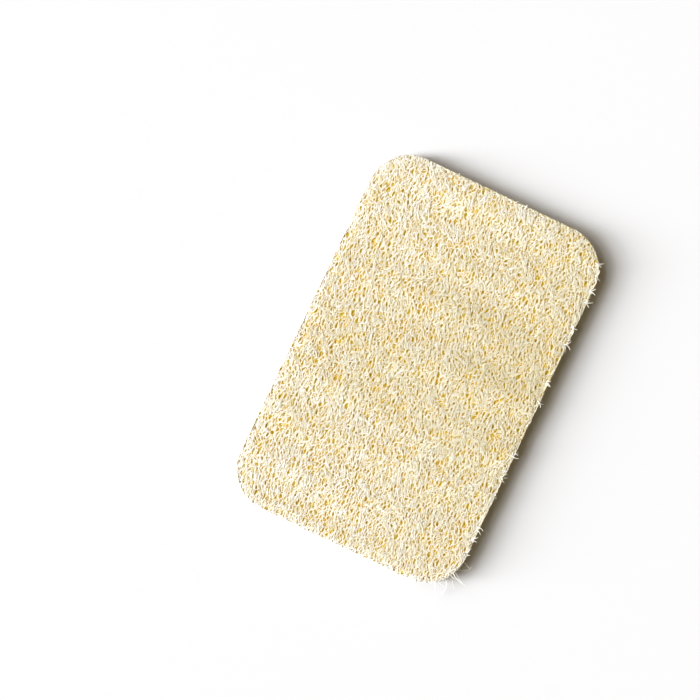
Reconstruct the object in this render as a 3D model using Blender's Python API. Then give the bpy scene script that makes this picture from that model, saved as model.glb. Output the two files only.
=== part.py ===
"""A flat loofah sponge pad: the dried fibre net of a loofah gourd, opened out, pressed flat and die-cut to a
rounded rectangle. The net grew as one piece, so the pad is one solid. Metres, +Z up. The pad lies on its
inner face, long side along X, with the origin on the ground under its middle."""

import math
import random

import bmesh
import bpy
from mathutils import Vector, noise

LENGTH = 0.155
WIDTH = 0.100
THICKNESS = 0.007
CORNER_RADIUS = 0.0175

# The die pinches the cut edge, so both faces round over towards the middle of the wall.
RIM_WIDTH = 0.0032
WALL_INSET = 0.0008

# The net's meshes lie in staggered courses along X, each about twice as long as it is wide. STAGGER and
# WANDER are shares of a mesh. DRIFT is how far whole courses bend sideways, as a smooth noise over the face.
MESHES_LONG = 25
MESHES_WIDE = 34
EDGE_MESH_LENGTH = 0.0032
EDGE_MESH_WIDTH = 0.0026
STAGGER = 0.2
WANDER = 0.32
DRIFT = 0.0032
DRIFTS_PER_METRE = 34.0
SEED = 41

# How deep the holes of the net go, and how much its strands rise and fall.
PIT_SHALLOW = 0.0015
PIT_DEEP = 0.0024
STRAND_RISE = 0.0003
STRAND_RISES_PER_METRE = 260.0

# The low swells that cross the outer face, left by the gourd's ribs: how deep the dips between them are at
# least and at most, how far apart they lie along X, and how far each bends out of line.
SWELL_SHALLOW = 0.0001
SWELL_DEEP = 0.0004
SWELL_LENGTH = 0.021
SWELL_BEND = 0.004
SWELL_BENDS_PER_METRE = 24.0

# Where the pad is set down: on a patch in the middle of its underside that was pressed flat, and on three
# strand joints round it, in the same plane. The rest of the underside stays clear of the ground.
FLAT_SPOT_RADIUS = 0.010
LOW_POINTS = ((-0.055, -0.030), (0.055, -0.030), (0.0, 0.037))
GROUND_CLEARANCE = 0.0003

FIBRE_COLOUR = (0.86, 0.76, 0.52, 1.0)
FIBRE_ROUGHNESS = 0.85

# Two places closer than this count as the same.
TINY = 1e-6


def clear_scene():
    for obj in list(bpy.data.objects):
        bpy.data.objects.remove(obj)


def subdivide_along(bm, axis, pieces):
    """Cuts every edge of the box that runs along this axis into so many pieces."""
    edges = [e for e in bm.edges if abs((e.verts[1].co - e.verts[0].co)[axis]) > TINY]
    bmesh.ops.subdivide_edges(bm, edges=edges, cuts=pieces - 1)


def box_grid():
    """A closed box from -1 to 1, its faces split into the courses of the net and its wall into two."""
    bm = bmesh.new()
    bmesh.ops.create_cube(bm, size=2.0)
    subdivide_along(bm, 0, MESHES_LONG)
    subdivide_along(bm, 1, MESHES_WIDE)
    subdivide_along(bm, 2, 2)
    return bm


def station(share, half, pieces, edge_piece):
    """Where a grid line lies: evenly spaced, but for one narrower row of meshes along each edge."""
    inner_share = 1.0 - 2.0 / pieces
    if abs(share) <= inner_share + TINY:
        return share / inner_share * (half - edge_piece)
    return math.copysign(half, share)


def round_corner(x, y, half_x, half_y, radius):
    """Pulls the square corner of the grid in onto a quarter circle."""
    out_x = abs(x) - (half_x - radius)
    out_y = abs(y) - (half_y - radius)
    if out_x <= 0.0 or out_y <= 0.0:
        return x, y
    shrink = max(out_x, out_y) / math.hypot(out_x, out_y)
    return (
        math.copysign(half_x - radius + out_x * shrink, x),
        math.copysign(half_y - radius + out_y * shrink, y),
    )


def distance_inside(x, y):
    """How far a point lies inside the die-cut outline."""
    over_x = abs(x) - (LENGTH / 2 - CORNER_RADIUS)
    over_y = abs(y) - (WIDTH / 2 - CORNER_RADIUS)
    if over_x > 0.0 and over_y > 0.0:
        return CORNER_RADIUS - math.hypot(over_x, over_y)
    return CORNER_RADIUS - max(over_x, over_y)


def half_thickness(x, y):
    """Half the pad's thickness at a point: full in the middle, rounded over at the rim."""
    short_of_full = 1.0 - min(max(distance_inside(x, y), 0.0) / RIM_WIDTH, 1.0)
    return THICKNESS / 2 * math.sqrt(1.0 - short_of_full**2)


def swell(x, y):
    """How far the outer face lies below its highest level, in the dips between the low swells."""
    bend = noise.noise(Vector((x, y, 0.0)) * SWELL_BENDS_PER_METRE)
    wave = math.sin(2.0 * math.pi * (x + SWELL_BEND * bend) / SWELL_LENGTH)
    return SWELL_SHALLOW + (SWELL_DEEP - SWELL_SHALLOW) * (0.5 + 0.5 * wave)


def drift(x, y, side):
    """How far a course bends sideways here. It dies away towards the cut edge."""
    away_from_edge = min(max(distance_inside(x, y), 0.0) / CORNER_RADIUS, 1.0)
    place = Vector((x * DRIFTS_PER_METRE, y * DRIFTS_PER_METRE, side))
    return DRIFT * away_from_edge * noise.noise(place)


def set_net_courses(bm, draw):
    """Moves the box grid's points onto the pad: staggered courses that wander, rounded corners and rim."""
    half_x = LENGTH / 2 - WALL_INSET
    half_y = WIDTH / 2 - WALL_INSET
    mesh_length = 2 * (half_x - EDGE_MESH_LENGTH) / (MESHES_LONG - 2)
    mesh_width = 2 * (half_y - EDGE_MESH_WIDTH) / (MESHES_WIDE - 2)
    for vert in bm.verts:
        share_x, share_y, side = vert.co
        on_rim = max(abs(share_x), abs(share_y)) > 1.0 - TINY
        x = station(share_x, half_x, MESHES_LONG, EDGE_MESH_LENGTH)
        y = station(share_y, half_y, MESHES_WIDE, EDGE_MESH_WIDTH)
        if not on_rim:
            course = round((share_y + 1.0) / 2.0 * MESHES_WIDE)
            stagger = STAGGER if course % 2 else -STAGGER
            x += mesh_length * (stagger + WANDER * draw.uniform(-1.0, 1.0))
            y += mesh_width * WANDER * draw.uniform(-1.0, 1.0) + drift(x, y, side)
        if abs(side) < TINY:
            x *= (LENGTH / 2) / half_x
            y *= (WIDTH / 2) / half_y
            vert.co = (*round_corner(x, y, LENGTH / 2, WIDTH / 2, CORNER_RADIUS), THICKNESS / 2)
            continue
        x, y = round_corner(x, y, half_x, half_y, CORNER_RADIUS - WALL_INSET)
        z = THICKNESS / 2 + side * half_thickness(x, y)
        if side > 0.0 and not on_rim:
            z -= swell(x, y)
        vert.co = (x, y, z)


def net_of(shell):
    """The net whose meshes surround the shell's points: the dual of its triangles, as a new mesh."""
    tree = bpy.data.node_groups.new("net_meshes", "GeometryNodeTree")
    tree.interface.new_socket("Geometry", in_out="INPUT", socket_type="NodeSocketGeometry")
    tree.interface.new_socket("Geometry", in_out="OUTPUT", socket_type="NodeSocketGeometry")
    start = tree.nodes.new("NodeGroupInput")
    dual = tree.nodes.new("GeometryNodeDualMesh")
    end = tree.nodes.new("NodeGroupOutput")
    tree.links.new(start.outputs[0], dual.inputs[0])
    tree.links.new(dual.outputs[0], end.inputs[0])
    carrier = bpy.data.objects.new("net_carrier", shell)
    bpy.context.scene.collection.objects.link(carrier)
    carrier.modifiers.new("net", "NODES").node_group = tree
    graph = bpy.context.evaluated_depsgraph_get()
    net = bpy.data.meshes.new_from_object(carrier.evaluated_get(graph))
    bpy.data.objects.remove(carrier)
    return net


def lift_strands(bm):
    """Lets the strands of the outer face rise and fall a little. The underside's stay in one plane."""
    for vert in bm.verts:
        if vert.co.z > THICKNESS / 2:
            vert.co.z += STRAND_RISE * noise.noise(vert.co * STRAND_RISES_PER_METRE)


def fit_to_size(bm):
    """Brings the net to the pad's stated length, width and thickness, just clear of the ground."""
    reach = (
        (-LENGTH / 2, LENGTH / 2),
        (-WIDTH / 2, WIDTH / 2),
        (GROUND_CLEARANCE, THICKNESS),
    )
    for axis, (low_end, high_end) in enumerate(reach):
        places = [vert.co[axis] for vert in bm.verts]
        low, high = min(places), max(places)
        for vert in bm.verts:
            vert.co[axis] = low_end + (vert.co[axis] - low) / (high - low) * (high_end - low_end)


def in_flat_spot(vert):
    return vert.co.z < THICKNESS / 2 and vert.co.xy.length < FLAT_SPOT_RADIUS


def set_down(bm):
    """Brings the flat spot and the three low points down to the ground."""
    underside = [vert for vert in bm.verts if vert.co.z < GROUND_CLEARANCE + TINY]
    for vert in underside:
        if in_flat_spot(vert):
            vert.co.z = 0.0
    for place in LOW_POINTS:
        nearest = min(underside, key=lambda vert: (vert.co.xy - Vector(place)).length)
        nearest.co.z = 0.0


def sink_holes(bm, draw):
    """Sinks the middle of each mesh of the net, so that its strands stand up between the holes."""
    holes = [face for face in bm.faces if not all(in_flat_spot(vert) for vert in face.verts)]
    floors = bmesh.ops.poke(bm, faces=holes)["verts"]
    bm.normal_update()
    for vert in floors:
        vert.co -= vert.normal * draw.uniform(PIT_SHALLOW, PIT_DEEP)


def fibre_material():
    material = bpy.data.materials.new("loofah_fibre")
    material.use_nodes = True
    shader = material.node_tree.nodes["Principled BSDF"]
    shader.inputs["Base Color"].default_value = FIBRE_COLOUR
    shader.inputs["Roughness"].default_value = FIBRE_ROUGHNESS
    shader.inputs["Metallic"].default_value = 0.0
    material.diffuse_color = FIBRE_COLOUR
    return material


def loofah_pad(collection):
    draw = random.Random(SEED)
    bm = box_grid()
    set_net_courses(bm, draw)
    bmesh.ops.triangulate(bm, faces=bm.faces, quad_method="SHORT_EDGE")
    bmesh.ops.recalc_face_normals(bm, faces=bm.faces)
    shell = bpy.data.meshes.new("pad_shell")
    bm.to_mesh(shell)
    bm.free()

    net = net_of(shell)
    bm = bmesh.new()
    bm.from_mesh(net)
    lift_strands(bm)
    fit_to_size(bm)
    set_down(bm)
    sink_holes(bm, draw)
    bmesh.ops.triangulate(bm, faces=bm.faces)
    bmesh.ops.recalc_face_normals(bm, faces=bm.faces)
    bm.to_mesh(net)
    bm.free()

    net.name = "loofah_pad"
    net.materials.append(fibre_material())
    pad = bpy.data.objects.new("loofah_pad", net)
    collection.objects.link(pad)


clear_scene()
parts = bpy.data.collections.new("loofah_sponge_pad")
bpy.context.scene.collection.children.link(parts)
loofah_pad(parts)
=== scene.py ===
"""A natural loofah sponge pad, pressed flat and die-cut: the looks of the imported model, in metres."""

import math
import random

import bmesh
import bpy
from mathutils import Matrix, Vector


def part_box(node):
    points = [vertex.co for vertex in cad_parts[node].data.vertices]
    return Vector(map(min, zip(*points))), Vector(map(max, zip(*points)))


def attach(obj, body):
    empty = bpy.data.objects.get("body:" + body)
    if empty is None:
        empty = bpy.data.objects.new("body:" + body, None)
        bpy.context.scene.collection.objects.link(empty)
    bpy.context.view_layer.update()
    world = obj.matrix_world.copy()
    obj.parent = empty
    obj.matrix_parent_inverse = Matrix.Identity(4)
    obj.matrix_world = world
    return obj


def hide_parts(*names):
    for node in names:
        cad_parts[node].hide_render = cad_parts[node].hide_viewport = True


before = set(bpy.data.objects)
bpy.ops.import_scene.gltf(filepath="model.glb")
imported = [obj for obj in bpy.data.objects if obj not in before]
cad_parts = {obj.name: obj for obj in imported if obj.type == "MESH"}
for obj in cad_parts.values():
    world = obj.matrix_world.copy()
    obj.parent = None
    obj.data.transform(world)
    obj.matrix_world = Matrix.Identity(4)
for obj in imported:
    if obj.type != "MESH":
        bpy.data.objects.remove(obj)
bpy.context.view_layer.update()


# The middle of the pad is the gourd's many inner layers of net, pressed together into one mat. It is what
# shows at the bottom of the holes, and its golden colour there is painted warm shade. The pad has rounded
# corners, and the die pinched it thinner towards its cut edge.
PAD = "loofah_pad"
low_corner, high_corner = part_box(PAD)
HALF_LENGTH = high_corner.x
HALF_WIDTH = high_corner.y
THICKNESS = high_corner.z
CORNER_RADIUS = 0.0175
PINCH = 0.0003
PINCH_WIDTH = 0.004
PINCH_CURVE = 1.5
RIM_WIDTH = 0.0004
FLAT_REACH = CORNER_RADIUS - 0.0002
RIM_ARC = 0.00298
UNDERSIDE_CLEARANCE = 0.0003
SWELL_HEIGHT = 0.0004
SWELL_LENGTH = 0.021
SWELL_BEND = 0.008
SWELL_BENDS_PER_METRE = 24.0
NO_LENGTH = 1e-7
MAT = {"Grain Size": 0.0014, "Depth": 0.0010, "Relief": 0.0007}
MAT_SHRINK = 0.998
MAT_GRAIN_PER_METRE = (450.0, 900.0, 1.0)
MAT_PATCHES_PER_METRE = (500.0, 900.0, 900.0)
MAT_PATCH_RANGE = (0.38, 0.62)
MAT_STREAKS_PER_METRE = (900.0, 4000.0, 900.0)
MAT_SEED_SIDE = (0.3 * THICKNESS, 0.5 * THICKNESS, 0.8, 0.0)
MAT_CUT_AND_SHADE_HEIGHT = (0.6 * THICKNESS, 0.8 * THICKNESS, 1.0, 0.0)
MAT_CUT_AND_SHADE_REACH = (CORNER_RADIUS - 0.0032, CORNER_RADIUS - 0.0016)
GOLDEN = (0.93, 0.69, 0.06, 1.0)
DEEP_GOLDEN = (0.86, 0.54, 0.02, 1.0)
SEED_SIDE = (0.90, 0.76, 0.42, 1.0)
# Dull tan of the cut wall, which also paints shade on its lower part.
CUT_AND_SHADE = (0.56, 0.46, 0.28, 1.0)
EVENING = 0.9
EVENED_RISE = 0.2
STREAK_RANGE = (0.3, 0.7)
STREAK_ROUGHNESS = (0.72, 0.95)
STREAK_RELIEF = 0.00006
STREAK_STRENGTH = 0.5
GLOSS = 0.25


def add(tree, kind, inputs=None, **settings):
    """Adds a node to a tree. An input is set by its name or number, to a value or to another output."""
    node = tree.nodes.new(kind)
    for name, value in settings.items():
        setattr(node, name, value)
    for name, value in (inputs or {}).items():
        if isinstance(value, bpy.types.NodeSocket):
            tree.links.new(value, node.inputs[name])
        else:
            node.inputs[name].default_value = value
    return node


def maths(tree, operation, *values, clamp=False):
    """One step of arithmetic on numbers."""
    node = add(tree, "ShaderNodeMath", dict(enumerate(values)), operation=operation, use_clamp=clamp)
    return node.outputs[0]


def vectors(tree, operation, *values):
    """One step of arithmetic on vectors."""
    node = add(tree, "ShaderNodeVectorMath", dict(enumerate(values)), operation=operation)
    return node.outputs["Value" if operation == "LENGTH" else "Vector"]


def scaled(tree, vector, factor):
    node = add(tree, "ShaderNodeVectorMath", {0: vector, "Scale": factor}, operation="SCALE")
    return node.outputs["Vector"]


def xyz(tree, x=0.0, y=0.0, z=0.0):
    return add(tree, "ShaderNodeCombineXYZ", {"X": x, "Y": y, "Z": z}).outputs["Vector"]


def parts_of(tree, vector):
    """The X, Y and Z of a vector."""
    outputs = add(tree, "ShaderNodeSeparateXYZ", {"Vector": vector}).outputs
    return outputs["X"], outputs["Y"], outputs["Z"]


def place_now(tree):
    return add(tree, "GeometryNodeInputPosition").outputs["Position"]


def flattened(tree, vector):
    return vectors(tree, "MULTIPLY", vector, (1.0, 1.0, 0.0))


def flat_place(tree):
    """Where each point lies on the unrolled sheet, before it is laid on the pad."""
    return flattened(tree, place_now(tree))


def wander(tree, place, per_metre, w=0.0):
    """A smooth noise vector of about -0.5 to 0.5, with so many waves in a metre."""
    settings = {"Vector": place, "W": w, "Scale": per_metre, "Detail": 1.0}
    node = add(tree, "ShaderNodeTexNoise", settings, noise_dimensions="4D")
    return vectors(tree, "SUBTRACT", node.outputs["Color"], (0.5, 0.5, 0.5))


def reach_of(tree, flat, square=False):
    """The nearest place on the pad's core rectangle, the way out from it, and how far out a point is.
    A square reach bends square rings of points into round corners."""
    core = (HALF_LENGTH - CORNER_RADIUS, HALF_WIDTH - CORNER_RADIUS, 0.0)
    nearest = vectors(tree, "MAXIMUM", vectors(tree, "MINIMUM", flat, core), tuple(-c for c in core))
    away = vectors(tree, "SUBTRACT", flat, nearest)
    straight = maths(tree, "MAXIMUM", vectors(tree, "LENGTH", away), NO_LENGTH)
    way_out = scaled(tree, away, maths(tree, "DIVIDE", 1.0, straight))
    if not square:
        return nearest, way_out, straight
    x, y, z = parts_of(tree, vectors(tree, "ABSOLUTE", away))
    return nearest, way_out, maths(tree, "MAXIMUM", x, y)


def laid_on_pad(tree, flat, height, under=False, square=False):
    """Where a point of an unrolled sheet comes to lie: flat on one face, then round the rim to mid-height.
    Height is how far it stands off the surface."""
    nearest, way_out, reach = reach_of(tree, flat, square)
    past_flat = maths(tree, "MAXIMUM", maths(tree, "SUBTRACT", reach, FLAT_REACH), 0.0)
    turn = maths(tree, "MULTIPLY", past_flat, math.pi / 2 / RIM_ARC)
    level = maths(tree, "COSINE", turn)
    on_flat = maths(tree, "MINIMUM", reach, FLAT_REACH)
    on_rim = maths(tree, "MULTIPLY", maths(tree, "SINE", turn), maths(tree, "ADD", height, RIM_WIDTH))
    out = scaled(tree, way_out, maths(tree, "ADD", on_flat, on_rim))
    raised = maths(tree, "ADD", height, THICKNESS / 2)
    pinched = spread(tree, reach, CORNER_RADIUS - PINCH_WIDTH, FLAT_REACH)
    pinched = maths(tree, "POWER", pinched, PINCH_CURVE)
    raised = maths(tree, "MULTIPLY_ADD", pinched, -PINCH, raised)
    if under:
        raised = maths(tree, "MINIMUM", raised, THICKNESS / 2 - UNDERSIDE_CLEARANCE)
    else:
        along = parts_of(tree, flat)[0]
        bend = parts_of(tree, wander(tree, flat, SWELL_BENDS_PER_METRE))[0]
        along = maths(tree, "MULTIPLY_ADD", bend, SWELL_BEND, along)
        wave = maths(tree, "SINE", maths(tree, "MULTIPLY", along, 2 * math.pi / SWELL_LENGTH))
        dip = maths(tree, "MULTIPLY_ADD", wave, SWELL_HEIGHT / 2, SWELL_HEIGHT / 2)
        raised = maths(tree, "SUBTRACT", raised, dip)
    side = -1.0 if under else 1.0
    z = maths(tree, "MULTIPLY_ADD", maths(tree, "MULTIPLY", raised, level), side, THICKNESS / 2)
    return vectors(tree, "ADD", vectors(tree, "ADD", nearest, out), xyz(tree, 0.0, 0.0, z))


def spread(tree, value, low, high, to_low=0.0, to_high=1.0):
    """Stretches a value so that low and high give the two wanted values, and no further."""
    settings = {"Value": value, "From Min": low, "From Max": high, "To Min": to_low, "To Max": to_high}
    return add(tree, "ShaderNodeMapRange", settings).outputs["Result"]


def tree_for(name, sizes):
    """A new geometry tree with a named input for each size, and what those inputs give inside it."""
    tree = bpy.data.node_groups.new(name, "GeometryNodeTree")
    tree.interface.new_socket("Geometry", in_out="OUTPUT", socket_type="NodeSocketGeometry")
    for size, value in sizes.items():
        kind = "NodeSocketInt" if isinstance(value, int) else "NodeSocketFloat"
        tree.interface.new_socket(size, in_out="INPUT", socket_type=kind)
    return tree, tree.nodes.new("NodeGroupInput").outputs


def finish_tree(tree, geometry, material):
    real = add(tree, "GeometryNodeRealizeInstances", {"Geometry": geometry}).outputs["Geometry"]
    done = add(tree, "GeometryNodeSetMaterial", {"Geometry": real, "Material": material})
    tree.links.new(done.outputs["Geometry"], tree.nodes.new("NodeGroupOutput").inputs["Geometry"])


def part_of_pad(piece):
    """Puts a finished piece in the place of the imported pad."""
    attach(piece, "root")
    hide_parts(PAD)


def grown(name, tree, sizes):
    """Runs a tree with its named sizes, and keeps the result as a plain piece of the pad."""
    piece = bpy.data.objects.new(name, bpy.data.meshes.new(name + "_seed"))
    bpy.context.scene.collection.objects.link(piece)
    modifier = piece.modifiers.new("growth", "NODES")
    modifier.node_group = tree
    for item in tree.interface.items_tree:
        if item.in_out == "INPUT":
            modifier[item.identifier] = sizes[item.name]
    graph = bpy.context.evaluated_depsgraph_get()
    mesh = bpy.data.meshes.new_from_object(
        piece.evaluated_get(graph), preserve_all_data_layers=True, depsgraph=graph
    )
    piece.modifiers.clear()
    piece.data = mesh
    mesh.name = name
    mesh.shade_smooth()
    part_of_pad(piece)


def colour_mix(tree, factor, first, second):
    """The mix of two colours, each a value or another node's output."""
    return add(tree, "ShaderNodeMix", {0: factor, 6: first, 7: second}, data_type="RGBA").outputs[2]


def noise_on(tree, per_metre, detail=2.0, distortion=0.0):
    """A noise fixed to the pad, with so many waves in a metre along X, Y and Z."""
    place = add(tree, "ShaderNodeTexCoord").outputs["Object"]
    stretched = vectors(tree, "MULTIPLY", place, per_metre)
    settings = {"Vector": stretched, "Scale": 1.0, "Detail": detail, "Distortion": distortion}
    return add(tree, "ShaderNodeTexNoise", settings).outputs["Fac"]


def fibre_shader(material, colour, streaks, evened=True):
    """Dry plant fibre: dull and finely streaked. Light soaks through the matted fibres, so what faces up or
    down is shaded partly as the whole face is."""
    tree = material.node_tree
    shader = tree.nodes["Principled BSDF"]
    tree.links.new(colour, shader.inputs["Base Color"])
    tree.links.new(spread(tree, streaks, *STREAK_RANGE, *STREAK_ROUGHNESS), shader.inputs["Roughness"])
    facing = add(tree, "ShaderNodeNewGeometry").outputs["Normal"]
    if evened:
        rise = parts_of(tree, facing)[2]
        whole_face = xyz(tree, z=spread(tree, rise, -EVENED_RISE, EVENED_RISE, -EVENING, EVENING))
        facing = vectors(tree, "NORMALIZE", vectors(tree, "ADD", facing, whole_face))
    sizes = {"Strength": STREAK_STRENGTH, "Distance": STREAK_RELIEF, "Height": streaks, "Normal": facing}
    tree.links.new(add(tree, "ShaderNodeBump", sizes).outputs["Normal"], shader.inputs["Normal"])
    shader.inputs["Specular IOR Level"].default_value = GLOSS


def mat_material():
    """Golden strands, their golden a painted warm shade of the holes, darker in patches, paler on the seed
    side, and dull where the die cut through, darkened there as painted shade on the lower wall.
    """
    material = bpy.data.materials.new("golden_mat")
    material.use_nodes = True
    tree = material.node_tree
    patches = noise_on(tree, MAT_PATCHES_PER_METRE, detail=3.0, distortion=1.5)
    place = add(tree, "ShaderNodeTexCoord").outputs["Object"]
    reach = reach_of(tree, flattened(tree, place))[2]
    z = parts_of(tree, place)[2]
    colour = colour_mix(tree, spread(tree, patches, *MAT_PATCH_RANGE), DEEP_GOLDEN, GOLDEN)
    colour = colour_mix(tree, spread(tree, z, *MAT_SEED_SIDE), colour, SEED_SIDE)
    # The cut's own dull colour, and painted shade darkening the lower wall.
    cut = maths(tree, "MULTIPLY", spread(tree, z, *MAT_CUT_AND_SHADE_HEIGHT), spread(tree, reach, *MAT_CUT_AND_SHADE_REACH))
    colour = colour_mix(tree, cut, colour, CUT_AND_SHADE)
    fibre_shader(material, colour, noise_on(tree, MAT_STREAKS_PER_METRE))
    return material


def mat_tree():
    """A block of grains, laid on both faces of the pad and round its wall, with an uneven surface."""
    tree, size = tree_for("mat", MAT)
    half_length = HALF_LENGTH - RIM_WIDTH + RIM_ARC
    half_width = HALF_WIDTH - RIM_WIDTH + RIM_ARC
    block = add(
        tree,
        "GeometryNodeMeshCube",
        {
            "Size": (2 * half_length, 2 * half_width, THICKNESS),
            "Vertices X": maths(tree, "DIVIDE", 2 * half_length, size["Grain Size"]),
            "Vertices Y": maths(tree, "DIVIDE", 2 * half_width, size["Grain Size"]),
            "Vertices Z": 2,
        },
    )
    flat = flat_place(tree)
    upper = maths(tree, "GREATER_THAN", parts_of(tree, place_now(tree))[2], 0.0)
    stretched = vectors(tree, "MULTIPLY", flat, MAT_GRAIN_PER_METRE)
    settings = {"Vector": stretched, "W": upper, "Scale": 1.0}
    grain = add(tree, "ShaderNodeTexNoise", settings, noise_dimensions="4D").outputs["Fac"]
    relief = maths(tree, "MULTIPLY", maths(tree, "SUBTRACT", grain, 0.5), size["Relief"])
    height = maths(tree, "SUBTRACT", relief, size["Depth"])
    shrunk = scaled(tree, flat, MAT_SHRINK)
    top = laid_on_pad(tree, shrunk, height, square=True)
    bottom = laid_on_pad(tree, shrunk, height, under=True, square=True)
    place = add(tree, "ShaderNodeMix", {0: upper, 4: bottom, 5: top}, data_type="VECTOR").outputs[1]
    moved = add(tree, "GeometryNodeSetPosition", {"Geometry": block.outputs["Mesh"], "Position": place})
    finish_tree(tree, moved.outputs["Geometry"], mat_material())
    return tree


grown("golden_mat", mat_tree(), MAT)


# The outer face is the skin side of the gourd: fine strands that part and join again round narrow meshes,
# drawn out along the pad's length. Two such nets lie on each other. Each is grown from a wandering grid,
# whose dual gives a net where three strands meet at every joint.
CREAM = (0.97, 0.985, 1.0, 1.0)
STRAW = (0.83, 0.76, 0.44, 1.0)
# The grey of the bands and of the painted shade in the middle and along one side.
GREYED = (0.74, 0.69, 0.50, 1.0)
# Near white: the loose hairs' own colour, and a painted highlight on the pad's edge and end that face the
# light.
BLEACHED_AND_HIGHLIGHT = (0.99, 0.98, 0.92, 1.0)
STRAND_FLATNESS = 0.42
RIDGE_UP = -math.pi / 2
RIDGE_DOWN = math.pi / 2
RIDGE_OUT = 0.0
SHARP_EDGE = math.radians(80.0)
GREY_BANDS_PER_METRE = (80.0, 14.0, 0.0)
FIBRE_STREAKS_PER_METRE = (900.0, 5000.0, 5000.0)
HOLE_RADIUS = 0.00038
HOLE_RARENESS = 2.0
SMALLEST_CHANCE = 0.08
HOLE_TURN = math.radians(50.0)
HOLE_REACH = 0.0008
HOLE_SQUEEZE = (0.46, 1.0, 0.0)
HOLE_MIDDLE = 1e-6
SEED_STEP = 0.37
MESH_STAGGER = 0.25
MESH_WANDER_ALONG = 0.48
MESH_WANDER_ACROSS = 0.44
WAVES_PER_METRE = 620.0
ROLLS_PER_METRE = 420.0
HUMP_RANGE = (-0.4, 1.0)
STRAND_WAIST = 0.25
STRAND_THICKNESSES = (0.8, 1.25)
TOP_NET = {
    "Mesh Length": 0.0026,
    "Mesh Width": 0.00138,
    "Drift": 0.0034,
    "Drifts per Metre": 90.0,
    "Waviness": 0.0009,
    "Hump": 0.0002,
    "Roll": 0.0003,
    "Depth": 0.00026,
    "Pale Depth": 0.00026,
    "Golden Depth": 0.0004,
    "Strand Thickness": 0.00042,
    "Strand Points": 3,
    "Seed": 11,
}
SECOND_NET = dict(TOP_NET, Depth=0.0006, Seed=37)
SECOND_NET["Strand Points"] = 2
SECOND_NET["Mesh Length"] = 0.0031
SECOND_NET["Mesh Width"] = 0.0016

# Where the colours change, each as a stretch for spread: from where, to where, and how much at either end.
# Faint grey bands, partly the pad's own colour and partly painted shade of its low swells.
GREY_BANDS = (0.45, 0.72, 0.0, 0.45)
# Painted shade: greyer in the middle and along the +Y side, away from the light, paler at the ends.
SHADE_ALONG = (-0.075, -0.02, -0.2, 0.2)
SHADE_FADING = (0.0, 0.04, 0.0, -0.25)
SHADE_ACROSS = (-HALF_WIDTH, HALF_WIDTH, -0.15, 0.6)
# Painted shade on the strands' flanks, by how steeply they face sideways.
PAINTED_FLANK_SHADE = (0.45, 0.95, 0.5, 0.0)
PINCHED_EDGE = (CORNER_RADIUS - PINCH_WIDTH, CORNER_RADIUS - RIM_WIDTH)
# Painted highlight on the edge and end that face the light.
HIGHLIGHT_END = (0.25 * HALF_LENGTH, HALF_LENGTH)
HIGHLIGHT_SIDE = (-0.95 * HALF_WIDTH, -0.2 * HALF_WIDTH, 1.0, 0.1)
CUT_AND_SHADE_HEIGHT = (0.25 * THICKNESS, 0.75 * THICKNESS, 0.9, 0.0)
CUT_AND_SHADE_REACH = (CORNER_RADIUS - 0.0012, CORNER_RADIUS - 0.0004)
# How much of the painted warm shade by depth the strands get at the edge, and by height.
DEEP_AT_EDGE = (0.0, 1.0, 1.0, 0.75)
DEEP_BY_HEIGHT = (0.2 * THICKNESS, 0.5 * THICKNESS, 0.4, 1.0)
END_HIGHLIGHT = 0.25


def random_number(tree, low, high, seed, step):
    """A random number for each item. Each step draws its own."""
    settings = {2: low, 3: high, "Seed": maths(tree, "ADD", seed, step)}
    return add(tree, "FunctionNodeRandomValue", settings, data_type="FLOAT").outputs[1]


def random_per_strand(tree, low, high, seed, step):
    settings = {"Value": random_number(tree, low, high, seed, step)}
    node = add(tree, "GeometryNodeFieldOnDomain", settings, domain="CURVE", data_type="FLOAT")
    return node.outputs["Value"]


def pattern_of(tree, seed):
    """Where a seed has its own pattern in a noise's fourth direction."""
    return maths(tree, "MULTIPLY", seed, SEED_STEP)


def kept(tree, geometry, name, value, domain="POINT"):
    """Stores a value on the geometry under a name, for the material to read."""
    settings = {"Geometry": geometry, "Name": name, "Value": value}
    node = add(tree, "GeometryNodeStoreNamedAttribute", settings, data_type="FLOAT", domain=domain)
    return node.outputs["Geometry"]


def goldenness(tree, size, height):
    """How golden a strand is for how deep it lies, a painted warm shade: pale near the surface, fully golden
    further down.
    """
    depth = maths(tree, "SUBTRACT", maths(tree, "MULTIPLY", height, -1.0), size["Pale Depth"])
    return maths(tree, "DIVIDE", depth, size["Golden Depth"], clamp=True)


def trimmed(tree, geometry):
    """Cuts away what lies past the middle of the half-round wall."""
    reach = reach_of(tree, flat_place(tree))[2]
    past = maths(tree, "GREATER_THAN", reach, FLAT_REACH + RIM_ARC)
    settings = {"Geometry": geometry, "Selection": past}
    return add(tree, "GeometryNodeDeleteGeometry", settings, domain="POINT").outputs["Geometry"]


def swept(tree, strands, thickness, ridge):
    """A three-sided tube along each strand, pressed flat, with its rounded ridge turned outwards."""
    turned = add(tree, "GeometryNodeSetCurveNormal", {"Curve": strands}, mode="Z_UP").outputs["Curve"]
    ring = add(tree, "GeometryNodeCurvePrimitiveCircle", {"Resolution": 3, "Radius": 0.5}).outputs["Curve"]
    settings = {"Geometry": ring, "Scale": (STRAND_FLATNESS, 1.0, 1.0), "Rotation": (0.0, 0.0, ridge)}
    ring = add(tree, "GeometryNodeTransform", settings).outputs["Geometry"]
    settings = {"Curve": turned, "Profile Curve": ring, "Scale": thickness, "Fill Caps": True}
    tube = add(tree, "GeometryNodeCurveToMesh", settings).outputs["Mesh"]
    bend = add(tree, "GeometryNodeInputMeshEdgeAngle").outputs["Unsigned Angle"]
    sharp = maths(tree, "GREATER_THAN", bend, SHARP_EDGE)
    settings = {"Geometry": tube, "Selection": sharp, "Shade Smooth": False}
    return add(tree, "GeometryNodeSetShadeSmooth", settings, domain="EDGE").outputs["Geometry"]


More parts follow.
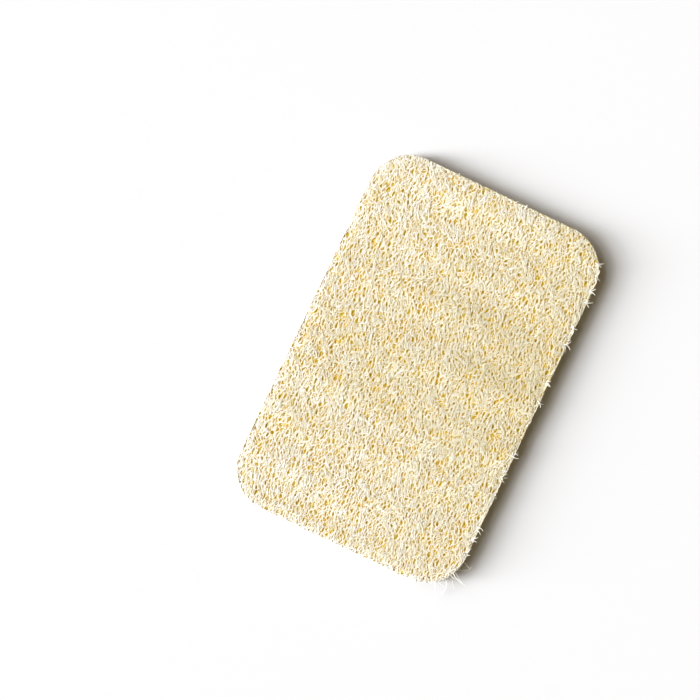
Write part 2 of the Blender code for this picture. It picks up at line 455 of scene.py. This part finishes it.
def coloured_fibre(name, pale, dark):
    """Pale on top and golden below, each strand a little different; the golden below and on the flanks is
    painted warm shade. Faint greyish bands cross the pad, partly painted shade of its swells. It is greyer
    in the middle and along one side, painted shade where the light falls off, white along its edge and end
    on the lit side, a painted highlight, and dull where the die cut through, darkened there as painted shade
    on the lower wall."""
    material = bpy.data.materials.new(name)
    material.use_nodes = True
    tree = material.node_tree
    tone = add(tree, "ShaderNodeAttribute", attribute_name="tone").outputs["Fac"]
    depth = add(tree, "ShaderNodeAttribute", attribute_name="depth").outputs["Fac"]
    place = add(tree, "ShaderNodeTexCoord").outputs["Object"]
    x, y, z = parts_of(tree, place)
    reach = reach_of(tree, flattened(tree, place))[2]
    colour = colour_mix(tree, tone, pale, dark)
    # The grey bands are partly the pad's own colour and partly painted shade of its low swells.
    grey = spread(tree, noise_on(tree, GREY_BANDS_PER_METRE), *GREY_BANDS)
    # Painted shade where the light falls off: greyer in the middle and towards +Y, paler at both ends.
    grey = maths(tree, "ADD", grey, spread(tree, x, *SHADE_ALONG))
    grey = maths(tree, "ADD", grey, spread(tree, x, *SHADE_FADING))
    grey = maths(tree, "ADD", grey, spread(tree, y, *SHADE_ACROSS), clamp=True)
    colour = colour_mix(tree, grey, colour, GREYED)
    # Painted shade: the strands' sideways-facing flanks are tinted golden.
    rise = parts_of(tree, add(tree, "ShaderNodeNewGeometry").outputs["Normal"])[2]
    flank_shade = spread(tree, maths(tree, "ABSOLUTE", rise), *PAINTED_FLANK_SHADE)
    colour = colour_mix(tree, flank_shade, colour, GOLDEN)
    # Painted highlight: the edge on the side and end that face the light is mixed towards white, and the
    # whole end a little.
    edge = spread(tree, reach, *PINCHED_EDGE)
    at_end = spread(tree, x, *HIGHLIGHT_END)
    at_edge = maths(tree, "MAXIMUM", at_end, spread(tree, y, *HIGHLIGHT_SIDE))
    painted_highlight = maths(tree, "MULTIPLY", edge, at_edge)
    painted_highlight = maths(tree, "MAXIMUM", painted_highlight, maths(tree, "MULTIPLY", at_end, END_HIGHLIGHT))
    colour = colour_mix(tree, painted_highlight, colour, BLEACHED_AND_HIGHLIGHT)
    # The cut's own dull colour, and painted shade darkening the lower wall.
    cut = maths(tree, "MULTIPLY", spread(tree, z, *CUT_AND_SHADE_HEIGHT), spread(tree, reach, *CUT_AND_SHADE_REACH))
    # Painted warm shade: the deeper a strand lies, the more golden it is, less so at the edge and on the
    # underside.
    deep = maths(tree, "MULTIPLY", depth, spread(tree, edge, *DEEP_AT_EDGE))
    deep = maths(tree, "MULTIPLY", deep, spread(tree, z, *DEEP_BY_HEIGHT))
    colour = colour_mix(tree, cut, colour_mix(tree, deep, colour, GOLDEN), CUT_AND_SHADE)
    fibre_shader(material, colour, noise_on(tree, FIBRE_STREAKS_PER_METRE))
    return material


def net_grid(tree, size):
    """The staggered, wandering grid whose points lie in the middle of the net's holes."""
    seed = size["Seed"]
    length = 2 * (HALF_LENGTH + RIM_ARC)
    width = 2 * (HALF_WIDTH + RIM_ARC)
    columns = maths(tree, "ROUND", maths(tree, "DIVIDE", length, size["Mesh Length"]))
    rows = maths(tree, "ROUND", maths(tree, "DIVIDE", width, size["Mesh Width"]))
    settings = {"Size X": length, "Size Y": width, "Vertices X": columns, "Vertices Y": rows}
    grid = add(tree, "GeometryNodeMeshGrid", settings).outputs["Mesh"]
    index = add(tree, "GeometryNodeInputIndex").outputs["Index"]
    column = maths(tree, "FLOOR", maths(tree, "DIVIDE", index, rows))
    odd = maths(tree, "MODULO", column, 2.0)
    stagger = maths(tree, "MULTIPLY_ADD", odd, 2 * MESH_STAGGER, -MESH_STAGGER)
    step_x = random_number(tree, -MESH_WANDER_ALONG, MESH_WANDER_ALONG, seed, 0)
    step_x = maths(tree, "MULTIPLY", size["Mesh Length"], step_x)
    step_y = random_number(tree, -MESH_WANDER_ACROSS, MESH_WANDER_ACROSS, seed, 1)
    step_y = maths(tree, "MULTIPLY", size["Mesh Width"], maths(tree, "ADD", stagger, step_y))
    drift = wander(tree, flat_place(tree), size["Drifts per Metre"], pattern_of(tree, seed))
    drift = scaled(tree, drift, size["Drift"])
    offset = flattened(tree, vectors(tree, "ADD", xyz(tree, step_x, step_y), drift))
    return add(tree, "GeometryNodeSetPosition", {"Geometry": grid, "Offset": offset}).outputs["Geometry"]


def parted(tree, place):
    """Pushes a place out of the nearest hole of the top net. The holes are drawn out, each turned a little
    its own way, most are small, and those at the edge are pressed shut."""
    settings = {"Geometry": net_grid(tree, TOP_NET), "Sample Position": place}
    middle = add(tree, "GeometryNodeProximity", settings, target_element="POINTS").outputs["Position"]
    chance = add(tree, "ShaderNodeTexWhiteNoise", {"Vector": middle})
    reach = reach_of(tree, middle)[2]
    largest = spread(tree, reach, CORNER_RADIUS - PINCH_WIDTH, FLAT_REACH, HOLE_RADIUS, 0.0)
    rare = maths(tree, "POWER", chance.outputs["Value"], HOLE_RARENESS)
    radius = spread(tree, rare, SMALLEST_CHANCE, 1.0, 0.0, largest)
    away = vectors(tree, "SUBTRACT", place, middle)
    turn = spread(tree, parts_of(tree, chance.outputs["Color"])[1], 0.0, 1.0, -HOLE_TURN, HOLE_TURN)
    settings = {"Vector": away, "Angle": turn}
    turned = add(tree, "ShaderNodeVectorRotate", settings, rotation_type="Z_AXIS").outputs["Vector"]
    squeezed = vectors(tree, "MULTIPLY", turned, HOLE_SQUEEZE)
    distance = maths(tree, "MAXIMUM", vectors(tree, "LENGTH", squeezed), HOLE_MIDDLE)
    pushed = spread(tree, distance, 0.0, HOLE_REACH, radius, HOLE_REACH)
    pushed = maths(tree, "MAXIMUM", pushed, distance)
    return vectors(tree, "ADD", middle, scaled(tree, away, maths(tree, "DIVIDE", pushed, distance)))


def net_tree(name, sizes, material, under, open_holes=False):
    """A net of strands on one face of the pad and down to the middle of its wall."""
    tree, size = tree_for(name, sizes)
    seed = size["Seed"]
    pattern = pattern_of(tree, seed)
    cut = add(tree, "GeometryNodeTriangulate", {"Mesh": net_grid(tree, size)}).outputs["Mesh"]
    dual = add(tree, "GeometryNodeDualMesh", {"Mesh": cut}).outputs["Dual Mesh"]
    strands = add(tree, "GeometryNodeMeshToCurve", {"Mesh": trimmed(tree, dual)}).outputs["Curve"]
    settings = {"Curve": strands, "Count": size["Strand Points"]}
    fine = add(tree, "GeometryNodeResampleCurve", settings, mode="COUNT").outputs["Curve"]
    flat = flat_place(tree)
    waves = scaled(tree, wander(tree, flat, WAVES_PER_METRE, pattern), size["Waviness"])
    wavy = flattened(tree, vectors(tree, "ADD", flat, waves))
    if open_holes:
        wavy = parted(tree, wavy)
    along = add(tree, "GeometryNodeSplineParameter").outputs["Factor"]
    middle = maths(tree, "SINE", maths(tree, "MULTIPLY", along, math.pi))
    hump = maths(tree, "MULTIPLY", middle, random_per_strand(tree, *HUMP_RANGE, seed, 2))
    roll = parts_of(tree, wander(tree, flat, ROLLS_PER_METRE, pattern))[2]
    height = maths(tree, "MULTIPLY_ADD", hump, size["Hump"], maths(tree, "MULTIPLY", roll, size["Roll"]))
    height = maths(tree, "SUBTRACT", height, size["Depth"])
    settings = {"Geometry": fine, "Position": laid_on_pad(tree, wavy, height, under)}
    shaped = add(tree, "GeometryNodeSetPosition", settings).outputs["Geometry"]
    shaped = kept(tree, shaped, "depth", goldenness(tree, size, height))
    shaped = kept(tree, shaped, "tone", random_number(tree, 0.0, 1.0, seed, 3), "CURVE")
    web = maths(tree, "MULTIPLY_ADD", middle, -STRAND_WAIST, 1.0)
    thickness = random_per_strand(tree, *STRAND_THICKNESSES, seed, 4)
    thickness = maths(tree, "MULTIPLY", thickness, size["Strand Thickness"])
    tube = swept(tree, shaped, maths(tree, "MULTIPLY", web, thickness), RIDGE_DOWN if under else RIDGE_UP)
    finish_tree(tree, tube, material)
    return tree


outer_fibre = coloured_fibre("outer_fibre", CREAM, STRAW)
grown("outer_net_top", net_tree("outer_net", TOP_NET, outer_fibre, False, open_holes=True), TOP_NET)
grown("outer_net_second", net_tree("second_net", SECOND_NET, outer_fibre, False), SECOND_NET)


# Loose fibres lie felted over the outer net. They were torn free when the skin came off, and were pressed
# flat with the rest: short, curved, mostly along the pad's length, their ends tucked down between strands.
FELT = {
    "Fibres per Square Metre": 370000.0,
    "Fibre Length": 0.0038,
    "Fibre Thickness": 0.00032,
    "Fibre Points": 6,
    "Waviness": 0.0024,
    "Swirl": 4.5,
    "Swirls per Metre": 150.0,
    "Straying": 0.6,
    "Pile": 0.00032,
    "Tuck": 0.0004,
    "Depth": 0.0002,
    "Pale Depth": 0.00026,
    "Golden Depth": 0.0004,
    "Seed": 71,
}
FINE_FELT = dict(FELT, Seed=113, Straying=0.85)
FINE_FELT["Fibre Length"] = 0.0026
FINE_FELT["Fibre Points"] = 4
FINE_FELT["Fibre Thickness"] = 0.00026
FINE_FELT["Fibres per Square Metre"] = 600000.0
LOW_FELT = dict(FINE_FELT, Seed=131, Depth=0.00034)
LOW_FELT["Fibre Thickness"] = 0.00045
LOW_FELT["Fibres per Square Metre"] = 340000.0
LENGTH_SHARES = (0.55, 1.35)
BENDS_PER_METRE = 300.0
BEND_PATTERNS = 9.0
TUCK_CURVE = 3.0
FIBRE_TAPER = 0.5
FIBRE_THICKNESSES = (0.7, 1.2)


def plain_sheet(tree, length, width):
    settings = {"Size X": length, "Size Y": width, "Vertices X": 2, "Vertices Y": 2}
    return add(tree, "GeometryNodeMeshGrid", settings).outputs["Mesh"]


def scattered_fibres(tree, size, sheet, swirl):
    """Straight fibres laid at random over a flat sheet, turned a little either way of X, as real curves."""
    seed = size["Seed"]
    settings = {"Mesh": sheet, "Density": size["Fibres per Square Metre"], "Seed": seed}
    spots = add(tree, "GeometryNodeDistributePointsOnFaces", settings).outputs["Points"]
    half = maths(tree, "MULTIPLY", size["Fibre Length"], 0.5)
    ends = {"Start": xyz(tree, maths(tree, "MULTIPLY", half, -1.0)), "End": xyz(tree, half)}
    line = add(tree, "GeometryNodeCurvePrimitiveLine", ends).outputs["Curve"]
    settings = {"Curve": line, "Count": size["Fibre Points"]}
    line = add(tree, "GeometryNodeResampleCurve", settings, mode="COUNT").outputs["Curve"]
    stray = random_number(tree, -1.0, 1.0, seed, 1)
    stray = maths(tree, "MULTIPLY", stray, maths(tree, "ABSOLUTE", stray))
    angle = maths(tree, "MULTIPLY_ADD", stray, size["Straying"], swirl)
    settings = {
        "Points": spots,
        "Instance": line,
        "Rotation": xyz(tree, 0.0, 0.0, angle),
        "Scale": xyz(tree, random_number(tree, *LENGTH_SHARES, seed, 2), 1.0, 1.0),
    }
    laid = add(tree, "GeometryNodeInstanceOnPoints", settings).outputs["Instances"]
    return add(tree, "GeometryNodeRealizeInstances", {"Geometry": laid}).outputs["Geometry"]


def wavy_fibre(tree, size):
    """How a laid fibre bends in the sheet, how high each of its points lies, and how near its end it is."""
    seed = size["Seed"]
    flat = flat_place(tree)
    own = random_per_strand(tree, 0.0, BEND_PATTERNS, seed, 3)
    bends = scaled(tree, wander(tree, flat, BENDS_PER_METRE, own), size["Waviness"])
    wavy = flattened(tree, vectors(tree, "ADD", flat, bends))
    along = add(tree, "GeometryNodeSplineParameter").outputs["Factor"]
    from_middle = maths(tree, "ABSOLUTE", maths(tree, "MULTIPLY_ADD", along, 2.0, -1.0))
    endness = maths(tree, "POWER", from_middle, TUCK_CURVE)
    level = maths(tree, "MULTIPLY", random_per_strand(tree, 0.0, 1.0, seed, 4), size["Pile"])
    height = maths(tree, "SUBTRACT", level, maths(tree, "MULTIPLY", endness, size["Tuck"]))
    return wavy, maths(tree, "SUBTRACT", height, size["Depth"]), endness


def swept_fibres(tree, size, fibres, place, height, endness, ridge, material):
    """Moves the fibres to their place, notes their tone and depth, and sweeps them as tapered tubes."""
    seed = size["Seed"]
    settings = {"Geometry": fibres, "Position": place}
    shaped = add(tree, "GeometryNodeSetPosition", settings).outputs["Geometry"]
    shaped = kept(tree, shaped, "depth", goldenness(tree, size, height))
    shaped = kept(tree, shaped, "tone", random_number(tree, 0.0, 1.0, seed, 5), "CURVE")
    taper = maths(tree, "MULTIPLY_ADD", endness, -FIBRE_TAPER, 1.0)
    thickness = random_per_strand(tree, *FIBRE_THICKNESSES, seed, 6)
    thickness = maths(tree, "MULTIPLY", thickness, size["Fibre Thickness"])
    finish_tree(tree, swept(tree, shaped, maths(tree, "MULTIPLY", taper, thickness), ridge), material)


def felt_tree(name, sizes, material):
    """Short curved fibres scattered over the outer face and round its rim."""
    tree, size = tree_for(name, sizes)
    sheet = plain_sheet(tree, 2 * (HALF_LENGTH + RIM_ARC), 2 * (HALF_WIDTH + RIM_ARC))
    pattern = pattern_of(tree, size["Seed"])
    turn = parts_of(tree, wander(tree, flat_place(tree), size["Swirls per Metre"], pattern))[0]
    fibres = scattered_fibres(tree, size, sheet, maths(tree, "MULTIPLY", turn, size["Swirl"]))
    fibres = trimmed(tree, fibres)
    wavy, height, endness = wavy_fibre(tree, size)
    place = laid_on_pad(tree, parted(tree, wavy), height)
    swept_fibres(tree, size, fibres, place, height, endness, RIDGE_UP, material)
    return tree


grown("outer_felt", felt_tree("felt", FELT, outer_fibre), FELT)
grown("outer_felt_fine", felt_tree("fine_felt", FINE_FELT, outer_fibre), FINE_FELT)
grown("outer_felt_low", felt_tree("low_felt", LOW_FELT, outer_fibre), LOW_FELT)


# The die crushed the cut edge: round the whole wall the fibres are pressed tightly along the edge, into a
# smooth band, from which a few stand out.
RIM_FELT = {
    "Fibres per Square Metre": 560000.0,
    "Fibre Length": 0.0048,
    "Fibre Thickness": 0.00042,
    "Fibre Points": 5,
    "Waviness": 0.0012,
    "Straying": 0.45,
    "Pile": 0.0002,
    "Tuck": 0.0004,
    "Depth": 0.00012,
    "Pale Depth": 0.0004,
    "Golden Depth": 0.0012,
    "Fray": 0.0018,
    "Frays per Metre": 420.0,
    "Seed": 151,
}
RIM_MARGIN = 0.0006
CORNER_STEPS = 16


def rim_tree(material):
    """Fibres along the edge, laid in a strip as long as the edge and then wrapped round the wall."""
    tree, size = tree_for("rim_felt", RIM_FELT)
    edge = add(
        tree,
        "GeometryNodeCurvePrimitiveQuadrilateral",
        {"Width": 2 * (HALF_LENGTH - RIM_WIDTH), "Height": 2 * (HALF_WIDTH - RIM_WIDTH)},
    ).outputs["Curve"]
    settings = {"Curve": edge, "Radius": FLAT_REACH, "Count": CORNER_STEPS}
    edge = add(tree, "GeometryNodeFilletCurve", settings, mode="POLY").outputs["Curve"]
    straight = 4 * (HALF_LENGTH + HALF_WIDTH - 2 * CORNER_RADIUS)
    edge_length = straight + 2 * math.pi * FLAT_REACH
    sheet = plain_sheet(tree, edge_length, 2 * (RIM_ARC - RIM_MARGIN))
    fibres = scattered_fibres(tree, size, sheet, 0.0)
    wavy, height, endness = wavy_fibre(tree, size)
    along, across = parts_of(tree, wavy)[:2]
    along = maths(tree, "FLOORED_MODULO", along, edge_length)
    settings = {"Curves": edge, "Length": along}
    spot = add(tree, "GeometryNodeSampleCurve", settings, mode="LENGTH", use_all_curves=True)
    x, y = parts_of(tree, spot.outputs["Tangent"])[:2]
    way_out = xyz(tree, y, maths(tree, "MULTIPLY", x, -1.0))
    on_wall = maths(tree, "MINIMUM", maths(tree, "MAXIMUM", across, -RIM_ARC), RIM_ARC)
    beyond = maths(tree, "ABSOLUTE", maths(tree, "SUBTRACT", across, on_wall))
    turn = maths(tree, "MULTIPLY", on_wall, math.pi / 2 / RIM_ARC)
    frayed = parts_of(tree, wander(tree, spot.outputs["Position"], size["Frays per Metre"]))[0]
    frayed = maths(tree, "MULTIPLY", maths(tree, "MAXIMUM", frayed, 0.0), size["Fray"])
    off = maths(tree, "ADD", maths(tree, "ADD", height, RIM_WIDTH), frayed)
    off = maths(tree, "MULTIPLY", maths(tree, "COSINE", turn), off)
    out = scaled(tree, way_out, maths(tree, "SUBTRACT", off, beyond))
    rise = maths(tree, "ADD", height, THICKNESS / 2 - PINCH)
    rise = maths(tree, "MULTIPLY", maths(tree, "SINE", turn), rise)
    rise = xyz(tree, z=maths(tree, "ADD", rise, THICKNESS / 2))
    place = vectors(tree, "ADD", vectors(tree, "ADD", spot.outputs["Position"], out), rise)
    swept_fibres(tree, size, fibres, place, height, endness, RIDGE_OUT, material)
    return tree


grown("rim_felt", rim_tree(outer_fibre), RIM_FELT)


# The underside is the seed side of the gourd's wall. Its strands are thicker and its meshes are wider than
# those of the outer face, and no loose fibres lie over them.
UNDER_NET = dict(TOP_NET, Depth=0.0005, Seed=53)
UNDER_NET["Mesh Length"] = 0.0038
UNDER_NET["Mesh Width"] = 0.0018
UNDER_NET["Strand Thickness"] = 0.0006
UNDER_SECOND_NET = dict(UNDER_NET, Depth=0.0009, Seed=67)
UNDER_SECOND_NET["Strand Points"] = 2
grown("under_net_top", net_tree("under_net", UNDER_NET, outer_fibre, True), UNDER_NET)
grown("under_net_second", net_tree("under_second", UNDER_SECOND_NET, outer_fibre, True), UNDER_SECOND_NET)


# Where the die cut through, strands were left hanging out: a short fringe and some tufts along one long edge
# and one end, and long loose hairs at one corner, where the pad has begun to fray.
HAIR_THICKNESS = 0.00036
HAIR_POINTS = 7
HAIR_SEED = 9
HAIR_BEND = 2.2
HAIR_KINK = 0.12
HAIR_DROOP = 0.06
HAIR_TAPER = 0.6
HAIR_UNEVENNESS = (0.9, 1.1)
TUFTS_ON_LONG_EDGE = (
    (-0.0684, -0.0640, -0.0585, -0.0531, -0.0422, -0.0338, -0.0175, -0.0084)
    + (0.0145, 0.0244, 0.033, 0.0472, 0.0521, 0.0582)
)
TUFTS_ON_END = (0.0061, 0.0106)
TUFT_SPREAD = 0.0008
HAIRS_IN_LONG_TUFT = (3, 6)
HAIRS_IN_END_TUFT = 3
LONG_TUFT = {
    "Inside": 0.0012,
    "Heights": (0.0058, 0.0067),
    "Sideways": (-1.0, 0.8),
    "Rise": (0.1, 0.7),
    "Lengths": (0.0018, 0.0042),
}
END_TUFT = dict(LONG_TUFT, Sideways=(-0.8, 0.8), Rise=(0.1, 0.6), Lengths=(0.0014, 0.0026))
LONG_FRINGE = {
    "Inside": 0.0010,
    "Heights": (0.0040, 0.0064),
    "Sideways": (-1.2, 1.2),
    "Rise": (-0.1, 0.5),
    "Lengths": (0.0011, 0.0022),
}
END_FRINGE = dict(LONG_FRINGE, Lengths=(0.0010, 0.0019))
HAIRS_IN_LONG_FRINGE = 130
HAIRS_IN_END_FRINGE = 50
FRAYED_CORNER = Vector((HALF_LENGTH - CORNER_RADIUS, HALF_WIDTH - CORNER_RADIUS, 0.0))
FRAYED_TURNS = (38.0, 88.0)
FRAYED_INSIDE = 0.001
FRAYED_HEIGHTS = (0.002, 0.0065)
FRAYED_LEAN = ((-0.2, 0.7), (-0.5, 0.3), (-0.1, 0.4))
FRAYED_LENGTHS = (0.003, 0.0105)
HAIRS_AT_CORNER = 14
HAIR_YELLOWING = (0.4, 0.8, 0.0, 0.5)
HAIR_PATCHES_PER_METRE = (300.0, 300.0, 300.0)
HAIR_STREAKS_PER_METRE = (5000.0, 5000.0, 5000.0)


def hair(splines, draw, root, heading, length):
    """One loose hair as a curve: out from its root, bending sideways, drooping, thinner to its tip."""
    spline = splines.new("POLY")
    spline.points.add(HAIR_POINTS - 1)
    place = root.copy()
    heading = heading.normalized()
    bend = draw.uniform(-1.0, 1.0) * HAIR_BEND / HAIR_POINTS
    for number, point in enumerate(spline.points):
        point.co = (*place, 1.0)
        taper = 1.0 - HAIR_TAPER * number / HAIR_POINTS
        point.radius = HAIR_THICKNESS / 2 * taper * draw.uniform(*HAIR_UNEVENNESS)
        heading = Matrix.Rotation(bend + draw.uniform(-HAIR_KINK, HAIR_KINK), 3, "Z") @ heading
        heading.z -= HAIR_DROOP
        place = place + heading.normalized() * length / HAIR_POINTS
        place.z = max(place.z, HAIR_THICKNESS)


def long_edge_at(along):
    """How far out the cut edge of the long side lies here, where it turns round the corners too."""
    round_corner = max(abs(along) - (HALF_LENGTH - CORNER_RADIUS), 0.0)
    return HALF_WIDTH - CORNER_RADIUS + math.sqrt(CORNER_RADIUS**2 - round_corner**2)


def long_edge_hair(splines, draw, kind, along):
    height = draw.uniform(*kind["Heights"])
    sideways = draw.uniform(*kind["Sideways"])
    heading = Vector((sideways, 1.0, draw.uniform(*kind["Rise"])))
    root = Vector((along, long_edge_at(along) - kind["Inside"], height))
    hair(splines, draw, root, heading, draw.uniform(*kind["Lengths"]))


def end_hair(splines, draw, kind, across):
    height = draw.uniform(*kind["Heights"])
    sideways = draw.uniform(*kind["Sideways"])
    heading = Vector((-1.0, sideways, draw.uniform(*kind["Rise"])))
    root = Vector((-HALF_LENGTH + kind["Inside"], across, height))
    hair(splines, draw, root, heading, draw.uniform(*kind["Lengths"]))


def corner_hair(splines, draw):
    turn = math.radians(draw.uniform(*FRAYED_TURNS))
    out = Vector((math.cos(turn), math.sin(turn), 0.0))
    root = FRAYED_CORNER + out * (CORNER_RADIUS - FRAYED_INSIDE)
    root.z = draw.uniform(*FRAYED_HEIGHTS)
    heading = out + Vector([draw.uniform(*lean) for lean in FRAYED_LEAN])
    hair(splines, draw, root, heading, draw.uniform(*FRAYED_LENGTHS))


def stray_hairs(material):
    """All the loose hairs, as one mesh."""
    draw = random.Random(HAIR_SEED)
    curve = bpy.data.curves.new("stray_hairs", "CURVE")
    curve.dimensions = "3D"
    curve.bevel_depth = 1.0
    curve.bevel_resolution = 0
    curve.use_fill_caps = True
    for along in TUFTS_ON_LONG_EDGE:
        for _ in range(draw.randint(*HAIRS_IN_LONG_TUFT)):
            aside = draw.uniform(-TUFT_SPREAD, TUFT_SPREAD)
            long_edge_hair(curve.splines, draw, LONG_TUFT, along + aside)
    for across in TUFTS_ON_END:
        for _ in range(HAIRS_IN_END_TUFT):
            aside = draw.uniform(-TUFT_SPREAD, TUFT_SPREAD)
            end_hair(curve.splines, draw, END_TUFT, across + aside)
    for _ in range(HAIRS_IN_LONG_FRINGE):
        along = draw.uniform(-1.0, 1.0) * (HALF_LENGTH - CORNER_RADIUS)
        long_edge_hair(curve.splines, draw, LONG_FRINGE, along)
    for _ in range(HAIRS_IN_END_FRINGE):
        across = draw.uniform(-1.0, 1.0) * (HALF_WIDTH - CORNER_RADIUS)
        end_hair(curve.splines, draw, END_FRINGE, across)
    for _ in range(HAIRS_AT_CORNER):
        corner_hair(curve.splines, draw)
    carrier = bpy.data.objects.new("stray_hairs", curve)
    bpy.context.scene.collection.objects.link(carrier)
    graph = bpy.context.evaluated_depsgraph_get()
    mesh = bpy.data.meshes.new_from_object(carrier.evaluated_get(graph))
    bpy.data.objects.remove(carrier)
    mesh.shade_smooth()
    mesh.materials.clear()
    mesh.materials.append(material)
    piece = bpy.data.objects.new("stray_hairs", mesh)
    bpy.context.scene.collection.objects.link(piece)
    part_of_pad(piece)


def hair_material():
    """Loose fibre that the light has bleached nearly white, a little yellower in places."""
    material = bpy.data.materials.new("loose_hair")
    material.use_nodes = True
    tree = material.node_tree
    yellowed = spread(tree, noise_on(tree, HAIR_PATCHES_PER_METRE), *HAIR_YELLOWING)
    colour = colour_mix(tree, yellowed, BLEACHED_AND_HIGHLIGHT, STRAW)
    fibre_shader(material, colour, noise_on(tree, HAIR_STREAKS_PER_METRE), evened=False)
    return material


stray_hairs(hair_material())


# The photograph was taken from straight above with a long lens, the pad turned on a bright white table. A
# tall soft light stands to the left of the picture, a weaker one at its upper left, and a little warm light
# comes from all round.
PHOTO_SIDE = 700
PAD_CENTRE_PIXEL = Vector((417.6, 368.9))
METRES_PER_PIXEL = 0.0004
LENGTH_IN_PHOTO = Vector((-0.43, -0.903))
CAMERA_HEIGHT = 0.80
SENSOR_WIDTH = 36.0
TABLE_REACH = 6.0
TABLE_WHITE = (0.71, 0.71, 0.71, 1.0)
TABLE_ROUGHNESS = 0.7
LIGHT_COLOUR = (0.955, 0.975, 1.03)
LIGHTS = {
    "left_high": {"Turn": 184.0, "Elevation": 50.0, "Angle": 34.0, "Level": 0.27},
    "left_middle": {"Turn": 184.0, "Elevation": 33.0, "Angle": 28.0, "Level": 0.46},
    "left_low": {"Turn": 184.0, "Elevation": 20.0, "Angle": 20.0, "Level": 0.29},
    "left_lowest": {"Turn": 184.0, "Elevation": 11.0, "Angle": 14.0, "Level": 0.10},
    "upper_left": {"Turn": 140.0, "Elevation": 38.0, "Angle": 40.0, "Level": 0.15},
}
WARM_ROOM = (0.97, 0.77, 0.42, 1.0)
ROOM_STRENGTH = 0.19
WHITE = (1.0, 1.0, 1.0, 1.0)

PHOTO_RIGHT = Vector((LENGTH_IN_PHOTO.x, -LENGTH_IN_PHOTO.y, 0.0)).normalized()
PHOTO_UP = Vector((LENGTH_IN_PHOTO.y, LENGTH_IN_PHOTO.x, 0.0)).normalized()


def camera():
    """Looks straight down, rolled so that the pad's +X runs down and to the left of the picture."""
    to_centre = PAD_CENTRE_PIXEL - Vector((PHOTO_SIDE / 2, PHOTO_SIDE / 2))
    place = -(PHOTO_RIGHT * to_centre.x - PHOTO_UP * to_centre.y) * METRES_PER_PIXEL
    data = bpy.data.cameras.new("camera")
    data.sensor_width = SENSOR_WIDTH
    data.lens = SENSOR_WIDTH * (CAMERA_HEIGHT - THICKNESS) / (PHOTO_SIDE * METRES_PER_PIXEL)
    data.clip_start = 0.01
    data.clip_end = 50.0
    seen_from = bpy.data.objects.new("camera", data)
    turn = Matrix((PHOTO_RIGHT, PHOTO_UP, Vector((0.0, 0.0, 1.0)))).transposed().to_4x4()
    seen_from.matrix_world = Matrix.Translation(place + Vector((0.0, 0.0, CAMERA_HEIGHT))) @ turn
    bpy.context.scene.collection.objects.link(seen_from)
    bpy.context.scene.camera = seen_from


def white_table():
    bm = bmesh.new()
    bmesh.ops.create_grid(bm, x_segments=1, y_segments=1, size=TABLE_REACH)
    mesh = bpy.data.meshes.new("table")
    bm.to_mesh(mesh)
    bm.free()
    table = bpy.data.objects.new("table", mesh)
    material = bpy.data.materials.new("white_table")
    material.use_nodes = True
    shader = material.node_tree.nodes["Principled BSDF"]
    shader.inputs["Base Color"].default_value = TABLE_WHITE
    shader.inputs["Roughness"].default_value = TABLE_ROUGHNESS
    mesh.materials.append(material)
    bpy.context.scene.collection.objects.link(table)


def soft_light(name, light):
    """One wide soft light. Its turn is counted from the right of the picture, and its level is how bright
    it makes a white floor."""
    turn = math.radians(light["Turn"])
    height = math.radians(light["Elevation"])
    data = bpy.data.lights.new(name, "SUN")
    data.energy = math.pi * light["Level"] / math.sin(height)
    data.color = LIGHT_COLOUR
    data.angle = math.radians(light["Angle"])
    lamp = bpy.data.objects.new(name, data)
    across = PHOTO_RIGHT * math.cos(turn) + PHOTO_UP * math.sin(turn)
    towards = across * math.cos(height) + Vector((0.0, 0.0, math.sin(height)))
    lamp.rotation_mode = "QUATERNION"
    lamp.rotation_quaternion = towards.to_track_quat("Z", "Y")
    lamp.location = towards
    bpy.context.scene.collection.objects.link(lamp)


def warm_room():
    """Faint warm light from all round, before a white background."""
    world = bpy.data.worlds.new("warm_room")
    world.use_nodes = True
    tree = world.node_tree
    seen = add(tree, "ShaderNodeLightPath").outputs["Is Camera Ray"]
    background = tree.nodes["Background"]
    tree.links.new(colour_mix(tree, seen, WARM_ROOM, WHITE), background.inputs["Color"])
    tree.links.new(spread(tree, seen, 0.0, 1.0, ROOM_STRENGTH, 1.0), background.inputs["Strength"])
    bpy.context.scene.world = world


camera()
white_table()
for light_name, light_sizes in LIGHTS.items():
    soft_light(light_name, light_sizes)
warm_room()
bpy.context.scene.view_settings.view_transform = "Standard"
